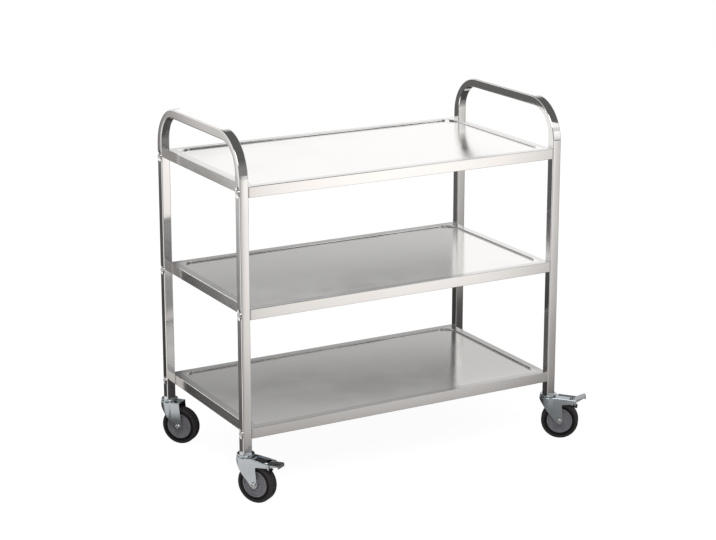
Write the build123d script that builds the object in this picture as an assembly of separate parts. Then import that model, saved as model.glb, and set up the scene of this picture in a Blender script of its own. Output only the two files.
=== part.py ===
from build123d import *
import math
import os

# Three-tier serving trolley, in millimetres.
# X runs along the trolley, the front is at -Y, Z is up, and the floor is at Z = 0.

# Overall sizes
trolley_length = 950.0          # over the outer faces of the two end frames
trolley_width = 500.0           # over the legs, front to back

# Heights, counted from the foot of the legs upwards
foot_to_bottom_shelf = 67.0     # foot of the leg to the rim of the bottom shelf
shelf_pitch = 312.5             # rim to rim
handle_rise = 127.0             # rim of the top shelf to the top of the handles

# End frames: one square tube bent into two legs and a handle
tube_size = 25.0
tube_wall = 1.2
tube_corner = 2.5               # outside radius along the tube's edges
handle_outer_radius = 112.0     # the outside of the bend flattens, so its radius is the larger one
handle_inner_radius = 72.0
dent_radius = 60.0              # ball of the tool that dishes the leg under each bolt head
dent_depth = 2.0

# Shelves: pressed trays between the end frames
shelf_sheet = 1.0
apron_height = 28.0
apron_return = 8.0              # safe edge folded inwards at the foot of the apron
shelf_bend = 2.0                # outside radius of the folded edges
rim_width = 21.0
well_depth = 4.0
well_corner = 40.0
well_floor_bend = 2.0
well_lip_bend = 1.0

# Shelf bolts, with a washer and a nut inside the apron
bolt_radius = 3.0
bolt_clearance = 0.2
bolt_head_radius = 7.0
bolt_head_height = 5.5
bolt_head_edge = 1.2
bolt_tail = 2.0                 # thread that stands out of the nut
washer_radius = 6.0
washer_thickness = 1.6
nut_across_flats = 10.0
nut_height = 5.0

# Castor wheels
wheel_diameter = 102.0
tyre_width = 28.0
tyre_thickness = 16.0
tyre_shoulder = 5.0
hub_boss_radius = 12.0
hub_web_recess = 4.0
hub_rim_thickness = 4.0
bond_line = 0.02                # glue between tyre and hub
trail = 33.0                    # swivel axis to wheel axis

# Castor axles
axle_radius = 4.0
axle_clearance = 0.05
sleeve_wall = 2.0
hub_running_clearance = 0.06
hub_side_clearance = 0.5
axle_head_radius = 7.5
axle_head_height = 4.5
axle_head_edge = 1.5
axle_socket_radius = 3.2
axle_socket_depth = 2.5
axle_nut_across_flats = 13.0
axle_nut_height = 6.5
axle_tail = 1.5

# Castor forks
fork_gap = 36.0                 # inside, between the two cheeks
fork_sheet = 2.5
fork_nose = 24.0                # round crown of the fork, about the swivel axis
fork_nose_blend = 8.0           # hollow curve from the crown into the narrower cheeks
fork_fold = 2.2                 # outside radius where the roof folds into the cheeks
fork_roof_length = 37.0         # swivel axis to the back of the roof
fork_cheek_drop = 5.0           # depth of the cheek at the nose, below the roof's sheet
fork_boss_radius = 10.0
roof_clearance = 13.5           # tyre to the underside of the roof

# Swivel bearing between the fork's crown and the cup
crown_rise = 1.6                # roof to the shoulder that the balls run on
ball_radius = 1.25
ball_circle = 18.45
ball_count = 26
race_gap = 0.3
cup_wall = 3.0
cup_plate = 2.3
cup_edge = 1.5
cup_lift = 2.5                  # roof to the lower rim of the cup
skirt_gap = 0.6
neck_gap = 0.8

# Castor stem (king pin) and the insert that it screws into
stem_radius = 6.0
stem_running_clearance = 0.06
stem_head_radius = 9.0
stem_head_thickness = 4.0
stem_head_gap = 0.3
stem_end_gap = 5.0              # stem's tip to the top of the insert
stem_chamfer = 1.0
insert_fit = 0.05               # on each side, in the leg
insert_headroom = 3.0           # insert's top to the lowest dish in the leg

# Foot brakes on the two front castors
flange_start = 28.0             # where the cheeks' upper edges start to slope down
flange_end = 78.0               # swivel axis to the back of the cheeks' flanges
flange_slope = 5.3              # degrees
flange_front_depth = 19.5
flange_back_depth = 11.0
flange_corner = 4.0
tray_recess = 3.0               # floor of the channel below the flanges' edges
tray_end = 59.0                 # swivel axis to the back of that floor
pivot_x = 70.0
pivot_drop = 11.5                # pivot below the roof's top
pedal_boss_radius = 4.2
pedal_side_clearance = 1.0
pedal_thickness = 3.0
pedal_length = 34.0             # pivot to the tip
pedal_angle = 28.0              # degrees above level when raised
pedal_lip = 4.5                 # turned-down edge at the tip
pedal_tip_corner = 6.0
brake_travel = 22.0             # degrees from raised to pressed
shoe_gap = 0.4                  # shoe to tyre when pressed
shoe_thickness = 6.0
shoe_width = 20.0
shoe_start = 42.0               # degrees above level, about the axle
shoe_end = 56.0
pin_radius = 2.5
pin_clearance = 0.05
pin_head_radius = 4.0
pin_head_thickness = 1.5

# How each castor stands: degrees from +X to the way it trails, and its brake
castor_turn = {"front_left": -57.0, "rear_left": -50.0, "front_right": -37.0, "rear_right": -44.0}
brake_pressed = {"front_left": True, "front_right": False}

# Worked-out sizes of the castor, upwards from the floor
wheel_radius = wheel_diameter / 2
roof_under = wheel_diameter + roof_clearance
roof_top = roof_under + fork_sheet
crown_shoulder = roof_top + crown_rise
ball_height = crown_shoulder + race_gap + ball_radius
cup_under = ball_height + ball_radius + race_gap
foot_height = cup_under + cup_plate
cup_inner_radius = ball_circle + ball_radius + race_gap
cup_outer_radius = cup_inner_radius + cup_wall
crown_radius = cup_inner_radius - skirt_gap
neck_radius = ball_circle - ball_radius - race_gap
fork_half_width = fork_gap / 2 + fork_sheet
sleeve_radius = axle_radius + axle_clearance + sleeve_wall
hub_radius = wheel_radius - tyre_thickness
axle_point = Vector(trail, 0, wheel_radius)
pivot_point = Vector(pivot_x, 0, roof_top - pivot_drop)

# Worked-out heights and places of the frame
shelf_rims = {
    "bottom": foot_height + foot_to_bottom_shelf,
    "middle": foot_height + foot_to_bottom_shelf + shelf_pitch,
    "top": foot_height + foot_to_bottom_shelf + 2 * shelf_pitch,
}
handle_top = shelf_rims["top"] + handle_rise
leg_x = (trolley_length - tube_size) / 2
leg_y = (trolley_width - tube_size) / 2
shelf_length = trolley_length - 2 * tube_size
bolt_heights = [rim - apron_height / 2 for rim in shelf_rims.values()]
bolt_places = [(side * leg_y, height) for height in bolt_heights for side in (-1, 1)]
dent_centre = dent_radius - dent_depth
dent_reach = math.sqrt((dent_radius + tube_wall) ** 2 - (dent_centre + tube_wall) ** 2)
insert_length = bolt_heights[0] - dent_reach - insert_headroom - foot_height
leg_places = {
    "front_left": (-leg_x, -leg_y),
    "rear_left": (-leg_x, leg_y),
    "front_right": (leg_x, -leg_y),
    "rear_right": (leg_x, leg_y),
}
small = 0.001                   # for telling edges apart


def standing(radius, low, high):
    """Upright cylinder on the Z axis between two heights."""
    foot = (Align.CENTER, Align.CENTER, Align.MIN)
    return Pos(0, 0, low) * Cylinder(radius, high - low, align=foot)


def domed_head(radius, height, edge):
    """Round head that sits on Z = 0, with a short upright edge and a domed top."""
    rise = height - edge
    ball = (radius**2 + rise**2) / (2 * rise)
    return standing(radius, 0, height) & (Pos(0, 0, height - ball) * Sphere(ball))


def hex_nut(across_flats, height, hole_radius):
    """Hexagon nut that sits on Z = 0."""
    body = extrude(RegularPolygon(across_flats / 2, 6, major_radius=False), height)
    return body - standing(hole_radius, 0, height)


def outwards(side):
    """Turn that points a fastener's +Z out of the left (-1) or right (+1) end frame."""
    return Rot(0, side * 90, 0)


# End frames
def arch(inset_half_width, top, radius):
    """Upright panel with two round top corners, standing on the feet of the legs."""
    height = top - foot_height
    panel = Pos(0, foot_height + height / 2) * Rectangle(2 * inset_half_width, height)
    corners = panel.vertices().sort_by(Axis.Y)[-2:]
    return fillet(corners, radius)


def bow(inset):
    """Outline of the bent tube, drawn in from its surface by inset."""
    outside = arch(trolley_width / 2 - inset, handle_top - inset, handle_outer_radius - inset)
    inner_half_width = trolley_width / 2 - tube_size + inset
    inside = arch(inner_half_width, handle_top - tube_size + inset, handle_inner_radius + inset)
    return outside - inside


def bent_tube(inset):
    """The bow given its thickness along X, with the long edges rounded."""
    body = extrude(Plane.YZ * bow(inset), tube_size / 2 - inset, both=True)
    long_edges = []
    for edge in body.edges():
        box = edge.bounding_box()
        if box.size.X < small and box.max.Z > foot_height + small:
            long_edges.append(edge)
    return fillet(long_edges, tube_corner - inset)


def end_frame_left():
    """Hollow bent tube, dished and drilled for the shelf bolts."""
    frame = Pos(-leg_x, 0, 0) * bent_tube(0)
    hollow = Pos(-leg_x, 0, 0) * bent_tube(tube_wall)
    dent_x = -trolley_length / 2 - dent_centre
    for y, z in bolt_places:
        frame -= Pos(dent_x, y, z) * Sphere(dent_radius)
        hollow -= Pos(dent_x, y, z) * Sphere(dent_radius + tube_wall)
    frame -= hollow
    for y, z in bolt_places:
        drill = Rot(0, 90, 0) * Cylinder(bolt_radius + bolt_clearance, 2 * tube_size)
        frame -= Pos(-leg_x, y, z) * drill
    return frame


# Shelves
def tray_block(inset, height):
    """Block of the shelf's outline with folded edges; its top face is at Z = 0."""
    top = (Align.CENTER, Align.CENTER, Align.MAX)
    block = Box(shelf_length - 2 * inset, trolley_width - 2 * inset, height, align=top)
    folds = block.edges().filter_by(Axis.Z) + block.edges().group_by(Axis.Z)[-1]
    return fillet(folds, shelf_bend - inset)


def well_block(growth):
    """Block of the well, grown by the sheet's thickness for its underside."""
    length = shelf_length - 2 * rim_width + 2 * growth
    width = trolley_width - 2 * rim_width + 2 * growth
    outline = RectangleRounded(length, width, well_corner + growth)
    block = extrude(outline, -(well_depth + growth))
    return fillet(block.edges().group_by(Axis.Z)[0], well_floor_bend + growth)


def shelf():
    """Pressed tray whose rim is at Z = 0."""
    tray = tray_block(0, apron_height)
    tray -= well_block(0)
    lip = [edge for edge in tray.edges() if on_well_lip(edge)]
    tray = fillet(lip, well_lip_bend)
    under = Pos(0, 0, -shelf_sheet) * tray_block(shelf_sheet, apron_height - 2 * shelf_sheet)
    tray -= under - well_block(shelf_sheet)
    mouth_length = shelf_length - 2 * apron_return
    mouth_width = trolley_width - 2 * apron_return
    foot = (Align.CENTER, Align.CENTER, Align.MIN)
    tray -= Pos(0, 0, -apron_height) * Box(mouth_length, mouth_width, shelf_sheet, align=foot)
    for side_x in (-1, 1):
        for side_y in (-1, 1):
            drill = Rot(0, 90, 0) * Cylinder(bolt_radius + bolt_clearance, 4 * shelf_sheet)
            tray -= Pos(side_x * shelf_length / 2, side_y * leg_y, -apron_height / 2) * drill
    return tray


def on_well_lip(edge):
    """True for the edges where the rim turns down into the well."""
    box = edge.bounding_box()
    level = abs(box.max.Z) < small and box.size.Z < small
    return level and box.max.Y < trolley_width / 2 - rim_width + small \
        and box.min.Y > rim_width - trolley_width / 2 - small


# Shelf fasteners
def seat_depth():
    """How far below the face of the leg the edge of a bolt head meets the dish."""
    return dent_depth - (dent_radius - math.sqrt(dent_radius**2 - bolt_head_radius**2))


def shelf_bolt():
    """Domed bolt whose head sits on Z = 0 and whose shank points down."""
    grip = tube_size - seat_depth() + shelf_sheet + washer_thickness + nut_height
    head = domed_head(bolt_head_radius, bolt_head_height, bolt_head_edge)
    return head + standing(bolt_radius, -grip - bolt_tail, 0)


def at_bolts(piece, side, depth):
    """One copy of a piece at each bolt of an end frame, depth in from the leg's outer face."""
    x = side * (trolley_length / 2 - depth)
    return [Pos(x, y, z) * outwards(side) * piece for y, z in bolt_places]


def shelf_fasteners(side):
    """Bolts, washers and nuts of one end frame."""
    washer_depth = tube_size + shelf_sheet + washer_thickness
    washer = standing(washer_radius, 0, washer_thickness)
    washer -= standing(bolt_radius + bolt_clearance, 0, washer_thickness)
    nut = hex_nut(nut_across_flats, nut_height, bolt_radius)
    return {
        "bolts": at_bolts(shelf_bolt(), side, seat_depth()),
        "washers": at_bolts(washer, side, washer_depth),
        "nuts": at_bolts(nut, side, washer_depth + nut_height),
    }


# Castors, each modelled with its swivel axis on Z and trailing towards +X
def across(piece):
    """Stand a piece made along Z on the wheel axis, with its +Z towards -Y."""
    return Pos(*axle_point) * Rot(90, 0, 0) * piece


def castor_insert():
    """Square plug in the foot of the leg, tapped for the stem."""
    size = tube_size - 2 * tube_wall - 2 * insert_fit
    outline = RectangleRounded(size, size, tube_corner - tube_wall)
    plug = Pos(0, 0, foot_height) * extrude(outline, insert_length)
    return plug - standing(stem_radius + insert_fit, foot_height, foot_height + insert_length)


def castor_stem():
    """King pin: head under the fork's roof, shank through crown and cup, tip in the insert."""
    head_top = roof_under - stem_head_gap
    head = standing(stem_head_radius, head_top - stem_head_thickness, head_top)
    shank = standing(stem_radius, head_top, foot_height + insert_length - stem_end_gap)
    shank = chamfer(shank.edges().group_by(Axis.Z)[-1], stem_chamfer)
    return head + shank


def castor_cup():
    """Pressed cup that holds the balls against the crown; its top meets the leg's foot."""
    cup = standing(cup_outer_radius, roof_top + cup_lift, foot_height)
    cup = fillet(cup.edges().group_by(Axis.Z)[-1], cup_edge)
    cup -= standing(cup_inner_radius, roof_top + cup_lift, cup_under)
    return cup - standing(stem_radius + insert_fit, cup_under, foot_height)


def castor_balls():
    """Ring of bearing balls."""
    ring = PolarLocations(ball_circle, ball_count)
    return [Pos(0, 0, ball_height) * place * Sphere(ball_radius) for place in ring]


def flange_fall(x):
    """How far the flanges of a braked fork have sloped down at x."""
    return (x - flange_start) * math.tan(math.radians(flange_slope))


def cheek_outline():
    """Side view of the fork: from the roof down to the axle boss."""
    roof_depth = fork_sheet + fork_cheek_drop
    roof_span = fork_nose + fork_roof_length
    roof_middle = Pos((fork_roof_length - fork_nose) / 2, roof_top - roof_depth / 2)
    boss = Pos(trail, wheel_radius) * Circle(fork_boss_radius)
    roof = roof_middle * Rectangle(roof_span, roof_depth)
    return make_hull(boss.edges() + roof.edges())


def braked_outline():
    """Side view of a braked fork, whose cheeks reach back as flanges for the pedal."""
    back_top = roof_top - flange_fall(flange_end)
    root_low = (fork_roof_length, roof_top - flange_front_depth)
    flange = Polygon(
        (0, roof_top),
        (flange_start, roof_top),
        (flange_end, back_top),
        (flange_end, back_top - flange_back_depth),
        root_low,
        (0, roof_top - fork_sheet),
        align=None,
    )
    outline = cheek_outline() + flange
    return fillet(outline.vertices().sort_by_distance(root_low)[0], flange_corner)


def under_roof(braked):
    """Side view of the space between the cheeks, below the roof."""
    front = -2 * fork_nose
    back = 2 * flange_end
    if not braked:
        return Polygon((front, 0), (front, roof_under), (back, roof_under), (back, 0), align=None)
    step = flange_start - fork_sheet
    tray_under = roof_under - tray_recess
    return Polygon(
        (front, 0),
        (front, roof_under),
        (step, roof_under),
        (step, tray_under),
        (tray_end, tray_under - flange_fall(tray_end)),
        (tray_end, 2 * roof_top),
        (back, 2 * roof_top),
        (back, 0),
        align=None,
    )


def channel():
    """Side view of the channel above the sunken floor of a braked fork."""
    tray_top = roof_top - tray_recess
    return Polygon(
        (flange_start, tray_top),
        (flange_start, 2 * roof_top),
        (tray_end, 2 * roof_top),
        (tray_end, tray_top - flange_fall(tray_end)),
        align=None,
    )


def round_nosed(inset):
    """Upright block of the fork's plan: a round crown, with narrower straight sides behind it."""
    half_width = fork_half_width - inset
    reach = 2 * flange_end
    behind = Pos(reach / 2, 0) * Rectangle(reach, 2 * half_width)
    plan = Circle(fork_nose - inset) + behind
    corners = [point for point in plan.vertices() if small < point.X < fork_nose]
    plan = fillet(corners, fork_nose_blend + inset)
    return extrude(plan, 2 * roof_top)


def on_fold(edge):
    """True for the edges where the roof and the flanges meet the outside of the fork."""
    along = edge.bounding_box().size.X > small
    for end in (edge @ 0, edge @ 1):
        fall = max(0, flange_fall(end.X))
        if end.Z < roof_top - fall - small:
            return False
    return along


def castor_fork(braked):
    """Folded fork with its crown, and with flanges for the pedal where it has a brake."""
    outline = braked_outline() if braked else cheek_outline()
    body = extrude(Plane.XZ * outline, fork_nose, both=True) & round_nosed(0)
    body = fillet([edge for edge in body.edges() if on_fold(edge)], fork_fold)
    inside = extrude(Plane.XZ * under_roof(braked), fork_nose, both=True)
    body -= inside & round_nosed(fork_sheet)
    if braked:
        body -= extrude(Plane.XZ * channel(), fork_gap / 2, both=True)
        body -= on_pivot(Cylinder(pin_radius + pin_clearance, 2 * fork_gap))
    body += standing(crown_radius, roof_under, crown_shoulder)
    body += standing(neck_radius, roof_under, cup_under - neck_gap)
    body -= standing(stem_radius + stem_running_clearance, 0, foot_height)
    return body - across(Cylinder(axle_radius + axle_clearance, 2 * fork_gap))


def on_pivot(piece):
    """Stand a piece made along Z on the brake's pivot line."""
    return Pos(*pivot_point) * Rot(90, 0, 0) * piece


def axle_bolt():
    """Bolt through both cheeks, with a socket in its domed head."""
    head = domed_head(axle_head_radius, axle_head_height, axle_head_edge)
    head -= standing(axle_socket_radius, axle_head_height - axle_socket_depth, axle_head_height)
    length = 2 * fork_half_width + axle_nut_height + axle_tail
    bolt = head + standing(axle_radius, -length, 0)
    return across(Pos(0, 0, fork_half_width) * bolt)


def axle_nut():
    """Nut on the far cheek."""
    nut = hex_nut(axle_nut_across_flats, axle_nut_height, axle_radius)
    return across(Pos(0, 0, -fork_half_width - axle_nut_height) * nut)


def axle_sleeve():
    """Tube clamped between the cheeks, on which the hub turns."""
    tube = Cylinder(sleeve_radius, fork_gap) - Cylinder(axle_radius + axle_clearance, fork_gap)
    return across(tube)


def wheel_hub():
    """Moulded hub: rim, web recessed on both sides, and a boss as long as the fork allows."""
    hub = Cylinder(hub_radius - bond_line, tyre_width)
    ring = Cylinder(hub_radius - hub_rim_thickness, hub_web_recess)
    ring -= Cylinder(hub_boss_radius, hub_web_recess)
    for side in (-1, 1):
        hub -= Pos(0, 0, side * (tyre_width - hub_web_recess) / 2) * ring
    hub += Cylinder(hub_boss_radius, fork_gap - 2 * hub_side_clearance)
    return across(hub - Cylinder(sleeve_radius + hub_running_clearance, fork_gap))


def wheel_tyre():
    """Rubber tyre with rounded shoulders."""
    tyre = Cylinder(wheel_radius, tyre_width)
    tyre = fillet(tyre.edges().filter_by(GeomType.CIRCLE), tyre_shoulder)
    return across(tyre - Cylinder(hub_radius, tyre_width))


# Foot brake, modelled pressed and then raised about its pivot where it is free
def brake_shoe():
    """Pad whose face follows the tyre when the pedal is down."""
    near = wheel_radius + shoe_gap
    far = near + shoe_thickness
    wedge_reach = 2 * far
    start = math.radians(shoe_start)
    end = math.radians(shoe_end)
    wedge = Polygon(
        (0, 0),
        (wedge_reach * math.cos(start), wedge_reach * math.sin(start)),
        (wedge_reach * math.cos(end), wedge_reach * math.sin(end)),
        align=None,
    )
    face = Pos(trail, wheel_radius) * ((Circle(far) - Circle(near)) & wedge)
    return extrude(Plane.XZ * face, shoe_width / 2, both=True)


def turned(length, degrees):
    """Place a circle at a length and an angle from the pivot, in side view."""
    angle = math.radians(degrees)
    return Pos(length * math.cos(angle), length * math.sin(angle))


def brake_pedal():
    """Pedal that rocks on its pin between the flanges: tread with a lip, and the shoe's arm."""
    half_width = fork_gap / 2 - pedal_side_clearance
    half = pedal_thickness / 2
    down_angle = pedal_angle - brake_travel
    lip_turn = math.degrees(math.atan2(pedal_lip, pedal_length))
    boss = Circle(pedal_boss_radius)
    tip = turned(pedal_length, down_angle) * Circle(half)
    lip = turned(pedal_length, down_angle - lip_turn) * Circle(half)
    tread = make_hull(boss.edges() + tip.edges()) + make_hull(tip.edges() + lip.edges())
    middle = math.radians((shoe_start + shoe_end) / 2)
    arm_reach = wheel_radius + shoe_gap + shoe_thickness
    arm_x = trail + arm_reach * math.cos(middle) - pivot_point.X
    arm_z = wheel_radius + arm_reach * math.sin(middle) - pivot_point.Z
    arm = make_hull(boss.edges() + (Pos(arm_x, arm_z) * Circle(half)).edges())
    side_view = Plane.XZ * Pos(pivot_point.X, pivot_point.Z)
    pedal = extrude(side_view * tread, half_width, both=True)
    back = pedal.bounding_box().max.X
    plan = Pos(back / 2, 0) * Rectangle(back, 2 * half_width)
    plan = fillet(plan.vertices().group_by(Axis.X)[-1], pedal_tip_corner)
    pedal &= extrude(plan, 2 * roof_top)
    pedal += extrude(side_view * arm, shoe_width / 2, both=True)
    pedal -= brake_shoe()
    return pedal - on_pivot(Cylinder(pin_radius + pin_clearance, 2 * fork_gap))


def brake_pin():
    """Riveted pin through the flanges and the pedal."""
    pin = Cylinder(pin_radius, 2 * fork_half_width)
    for side in (-1, 1):
        head_middle = side * (fork_half_width + pin_head_thickness / 2)
        pin += Pos(0, 0, head_middle) * Cylinder(pin_head_radius, pin_head_thickness)
    return on_pivot(pin)


def raised(piece):
    """Turn a brake piece from pressed to raised, about the pivot."""
    return Pos(*pivot_point) * Rot(0, -brake_travel, 0) * Pos(*-pivot_point) * piece


def castor_pieces(place):
    """All the pieces of one castor, placed under its leg and turned as it stands."""
    braked = place in brake_pressed
    pieces = {
        "castor_insert": castor_insert(),
        "castor_stem": castor_stem(),
        "castor_cup": castor_cup(),
        "castor_balls": castor_balls(),
        "castor_fork": castor_fork(braked),
        "axle_bolt": axle_bolt(),
        "axle_nut": axle_nut(),
        "axle_sleeve": axle_sleeve(),
        "wheel_hub": wheel_hub(),
        "wheel_tyre": wheel_tyre(),
    }
    if braked:
        pieces["brake_pin"] = brake_pin()
        pieces["brake_pedal"] = brake_pedal()
        pieces["brake_shoe"] = brake_shoe()
        if not brake_pressed[place]:
            pieces["brake_pedal"] = raised(pieces["brake_pedal"])
            pieces["brake_shoe"] = raised(pieces["brake_shoe"])
    x, y = leg_places[place]
    under_leg = Pos(x, y, 0)
    swivelled = under_leg * Rot(0, 0, castor_turn[place])
    placed = {}
    for name, piece in pieces.items():
        stand = under_leg if name == "castor_insert" else swivelled
        copies = piece if isinstance(piece, list) else [piece]
        placed[f"{name}_{place}"] = [stand * copy for copy in copies]
    return placed


def all_pieces():
    """Every node of the trolley by name, as a list of solids."""
    frame = end_frame_left()
    nodes = {"end_frame_left": [frame], "end_frame_right": [mirror(frame, about=Plane.YZ)]}
    tray = shelf()
    for name, rim in shelf_rims.items():
        nodes[f"shelf_{name}"] = [Pos(0, 0, rim) * tray]
    for side, name in ((-1, "left"), (1, "right")):
        for kind, copies in shelf_fasteners(side).items():
            nodes[f"shelf_{kind}_{name}"] = copies
    for place in leg_places:
        nodes.update(castor_pieces(place))
    return nodes


os.makedirs("parts", exist_ok=True)
for node, solids in all_pieces().items():
    export_step(Compound(children=solids), f"parts/{node}.step")
    print(node, len(solids))
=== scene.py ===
# %% [markdown]
# # A three-tier serving trolley
# Two bent tube end frames carry three pressed trays, and the whole thing rolls on four swivel castors.
# The CAD model comes in first as a fixed frame, in metres. Every piece below ends up where its solid
# already stands, so nothing has to be fitted afterwards.

# %% Load the frame
import math

import bmesh
import bpy
from mathutils import Matrix, Vector


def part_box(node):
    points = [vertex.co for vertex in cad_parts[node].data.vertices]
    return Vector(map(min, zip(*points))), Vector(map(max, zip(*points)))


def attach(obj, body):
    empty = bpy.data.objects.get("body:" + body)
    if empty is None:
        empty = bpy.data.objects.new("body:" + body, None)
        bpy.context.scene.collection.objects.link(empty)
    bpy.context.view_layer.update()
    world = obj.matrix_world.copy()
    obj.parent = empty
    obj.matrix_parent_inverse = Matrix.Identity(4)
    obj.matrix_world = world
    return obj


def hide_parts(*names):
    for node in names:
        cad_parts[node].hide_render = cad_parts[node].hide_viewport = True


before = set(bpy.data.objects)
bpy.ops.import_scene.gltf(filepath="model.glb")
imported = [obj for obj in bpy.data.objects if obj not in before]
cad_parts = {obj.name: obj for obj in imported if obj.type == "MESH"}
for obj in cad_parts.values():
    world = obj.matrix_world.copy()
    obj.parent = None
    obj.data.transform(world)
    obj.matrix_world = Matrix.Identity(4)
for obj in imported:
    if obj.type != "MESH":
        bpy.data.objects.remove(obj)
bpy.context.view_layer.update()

mm = 0.001

# %% [markdown]
# ## The camera
# The photograph looks down a little from the front left, through a long lens, so upright legs stay
# almost parallel. The camera is set first because it decides which faces deserve the most work.
# A small shift lowers the frame as the photograph's crop does.

# %% Camera
turn_round = math.radians(-29.118)
look_down = math.radians(14.102)
aim = Vector((-3.93, 2.19, 649.4)) * mm
distance = 5.1972
photo_width = 716
frame_drop = 60
back = Vector((
    math.sin(turn_round) * math.cos(look_down),
    -math.cos(turn_round) * math.cos(look_down),
    math.sin(look_down),
))
camera = bpy.data.objects.new("camera", bpy.data.cameras.new("camera"))
bpy.context.scene.collection.objects.link(camera)
camera.location = aim + back * distance
camera.rotation_euler = (math.pi / 2 - look_down, 0, turn_round)
camera.data.sensor_width = 36
camera.data.lens = 97.49
camera.data.shift_y = -frame_drop / photo_width
bpy.context.scene.camera = camera
print("camera at", [round(v, 3) for v in camera.location])

# %% [markdown]
# ## Working by hand, in code
# Each operator acts on whatever is selected, exactly as it does under the mouse. These helpers do
# what a hand does between operators: choose one piece, choose a few of its edges by where they are,
# pull and round them, and finish a piece so that light runs over it smoothly.

# %% Helpers for choosing
def leave_edit():
    """Go back to object mode."""
    if bpy.context.object and bpy.context.object.mode != "OBJECT":
        bpy.ops.object.mode_set(mode="OBJECT")


def put_down():
    """Go back to object mode with nothing selected."""
    leave_edit()
    bpy.ops.object.select_all(action="DESELECT")


def work_on(piece):
    """Make one piece the only selected object."""
    put_down()
    piece.select_set(True)
    bpy.context.view_layer.objects.active = piece


def edit(piece):
    """Open a piece in edit mode with nothing selected."""
    work_on(piece)
    bpy.ops.object.mode_set(mode="EDIT")
    bpy.ops.mesh.select_all(action="DESELECT")


def take_all():
    """Select the whole of the open piece."""
    bpy.ops.mesh.select_all(action="SELECT")


def pick(kind, test):
    """Select the points, edges or faces of the open piece whose middle passes a test."""
    bpy.ops.mesh.select_mode(type=kind)
    bpy.ops.mesh.select_all(action="DESELECT")
    mesh = bmesh.from_edit_mesh(bpy.context.object.data)
    for part in {"VERT": mesh.verts, "EDGE": mesh.edges, "FACE": mesh.faces}[kind]:
        corners = [part] if kind == "VERT" else list(part.verts)
        middle = sum((corner.co for corner in corners), Vector()) / len(corners)
        if test(middle, part):
            part.select_set(True)
    mesh.select_flush_mode()
    bmesh.update_edit_mesh(bpy.context.object.data)


def folded(edge, least=50):
    """True for an edge where two faces meet at more than a given angle."""
    return len(edge.link_faces) == 2 and edge.calc_face_angle() > math.radians(least)


def near(a, b, gap=0.01 * mm):
    """True where two lengths agree."""
    return abs(a - b) < gap


print("choosing: the open piece, and its parts by where they are")

# %% Helpers for shaping
def blank(name):
    """An empty piece, open in edit mode."""
    put_down()
    bpy.ops.mesh.primitive_plane_add(size=mm)
    piece = bpy.context.object
    piece.name = name
    bpy.ops.object.mode_set(mode="EDIT")
    bpy.ops.mesh.delete(type="VERT")
    return piece


def pull(x=0, y=0, z=0):
    """Extrude what is selected by a distance in millimetres."""
    bpy.ops.mesh.extrude_region_move(TRANSFORM_OT_translate={"value": (x * mm, y * mm, z * mm)})


def round_off(size, steps, of="EDGES", profile=0.5):
    """Bevel what is selected, by a size in millimetres."""
    bpy.ops.mesh.bevel(offset=size * mm, segments=steps, affect=of, profile=profile)


def face_out():
    """Turn all faces of the open piece outwards."""
    take_all()
    bpy.ops.mesh.normals_make_consistent(inside=False)


def cut(piece, tool, way="DIFFERENCE"):
    """Take a tool away from a piece, join it on or keep what they share, and bin the tool."""
    work_on(piece)
    bpy.ops.object.modifier_add(type="BOOLEAN")
    modifier = piece.modifiers[-1]
    modifier.operation = way
    modifier.object = tool
    modifier.solver = "EXACT"
    bpy.ops.object.modifier_apply(modifier=modifier.name)
    bpy.data.objects.remove(tool)


print("shaping: blank, pull, round off and cut")

# %% Helpers for finishing
dressed = {}


def polish(piece, least=30):
    """Merge, point the faces outwards, and shade smoothly with the flat faces kept flat."""
    edit(piece)
    take_all()
    bpy.ops.mesh.remove_doubles(threshold=0.002 * mm)
    face_out()
    leave_edit()
    bpy.ops.object.shade_smooth_by_angle(angle=math.radians(least))
    bpy.ops.object.modifier_add(type="WEIGHTED_NORMAL")
    piece.modifiers[-1].keep_sharp = True
    bpy.ops.object.modifier_apply(modifier=piece.modifiers[-1].name)


def copy_of(piece, name, place):
    """A copy with its own mesh, moved by a matrix that then goes into the mesh."""
    work_on(piece)
    bpy.ops.object.duplicate(linked=False)
    twin = bpy.context.object
    twin.name = name
    twin.matrix_world = place
    bpy.ops.object.transform_apply(location=True, rotation=True, scale=True)
    return twin


def dress(piece, body, node, slot):
    """Ride a piece on its body, let it stand for its solid, and note which finish it takes."""
    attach(piece, body)
    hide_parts(node)
    dressed.setdefault(slot, []).append(piece)


def faces_of(piece):
    """How many faces a piece has."""
    return len(piece.data.polygons)


print("finishing: polish, copy and dress")

# %% [markdown]
# ## End frames
# Each end of the real trolley is one square tube bent twice, so that legs and push handle are a
# single piece. A curve with a square section would bend evenly, but the real bend flattens on the
# outside: its two sides turn on different radii. So both sides are drawn as rounded panels, the strip
# between them is bridged, and the strip is pulled out to the width of the tube.

# %% The bent tube
low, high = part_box("end_frame_left")
tube = (high.x - low.x) / mm
foot = low.z
bend_outside = 112
bend_inside = 72
bend_steps = 20
tube_corner = 2.5
lengthways = (0, math.pi / 2, 0)


def upright_panel(half_width, top, radius):
    """In edit mode, add a panel that stands on the feet, with two round top corners and no floor."""
    height = top - foot
    middle = (low.x, 0, foot + height / 2)
    bpy.ops.mesh.primitive_plane_add(size=1, location=middle, rotation=lengthways)
    bpy.ops.transform.resize(value=(1, 2 * half_width, height))
    pick("VERT", lambda at, part: near(at.z, top) and near(abs(at.y), half_width))
    round_off(radius, bend_steps, of="VERTICES")
    pick("FACE", lambda at, part: len(part.verts) > 4)
    bpy.ops.mesh.delete(type="ONLY_FACE")
    pick("EDGE", lambda at, part: near(at.z, foot) and near(at.y, 0))
    bpy.ops.mesh.delete(type="EDGE")


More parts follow.
